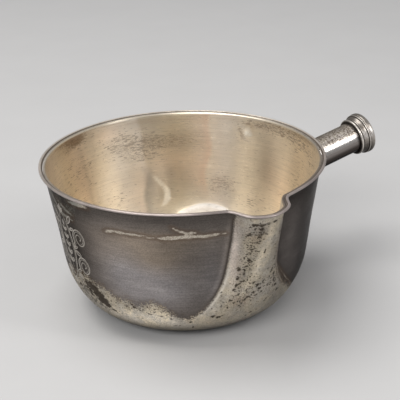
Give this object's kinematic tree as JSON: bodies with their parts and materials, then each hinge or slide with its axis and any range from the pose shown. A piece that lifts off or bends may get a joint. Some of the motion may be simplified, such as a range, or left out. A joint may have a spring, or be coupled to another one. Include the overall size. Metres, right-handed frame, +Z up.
{
  "type": "handled bowl",
  "caption": "Round metal pouring bowl with a drawn-out side lip, wired rim and an upward-tilted open tubular socket for a turned handle.",
  "frame": {"origin": "centre of the bowl's flat base, on the plane it stands on", "axes": "+Z up through the open mouth; +X towards the handle socket; -Y towards the pouring lip"},
  "size_m": [0.1734, 0.141, 0.0703],
  "materials": {
    "body_silver": "raised silver sheet, satin with grey-brown tarnish outside and warm gold-beige tarnish inside, pitted pale patches low down",
    "rim_silver": "worn bright silver wire with dirt in the groove beside it",
    "socket_silver": "polished silver tube, mottled with light tarnish",
    "collar_silver": "worn bright silver rings with dark tarnish in the grooves"
  },
  "bodies": {
    "root": {"bowl_body": "body_silver", "rim_wire": "rim_silver", "socket_tube": "socket_silver", "collar_bead": "collar_silver", "collar_band": "collar_silver", "mouth_ring": "collar_silver"}
  },
  "joints": []
}
